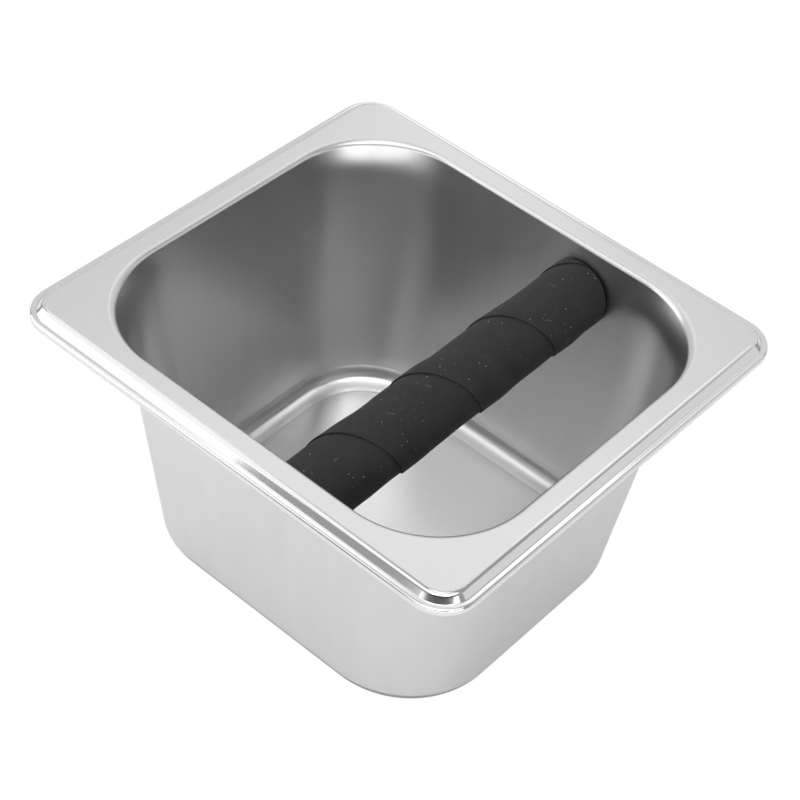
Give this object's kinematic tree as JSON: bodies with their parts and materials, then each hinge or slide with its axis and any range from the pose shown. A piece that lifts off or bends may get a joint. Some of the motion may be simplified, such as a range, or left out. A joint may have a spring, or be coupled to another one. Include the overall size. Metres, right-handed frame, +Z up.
{
  "type": "espresso knock box",
  "caption": "Rectangular stainless pan with a stepped flange and a padded, tape-wound bar across its opening, for knocking spent coffee out of a portafilter.",
  "frame": {"origin": "middle of the resting plane under the pan", "axes": "+X along the rim's long side, towards the bar; +Y along the bar, towards the back; +Z up out of the opening"},
  "size_m": [0.176, 0.162, 0.098],
  "materials": {
    "pan_steel": "satin drawn stainless sheet with fine vertical grain",
    "tube_steel": "drawn stainless tube",
    "insert_steel": "turned steel",
    "cushion_rubber": "matt black rubber",
    "tape_cloth": "black twill cloth tape, rubberised",
    "screw_steel": "plain stainless fastener",
    "washer_steel": "plain stainless washer"
  },
  "bodies": {
    "root": {"pan_shell": "pan_steel", "bar_core_tube": "tube_steel", "end_insert_front": "insert_steel", "end_insert_back": "insert_steel", "cushion_sleeve": "cushion_rubber", "grip_tape": "tape_cloth", "bar_screws": "screw_steel", "screw_washers": "washer_steel"}
  },
  "joints": []
}
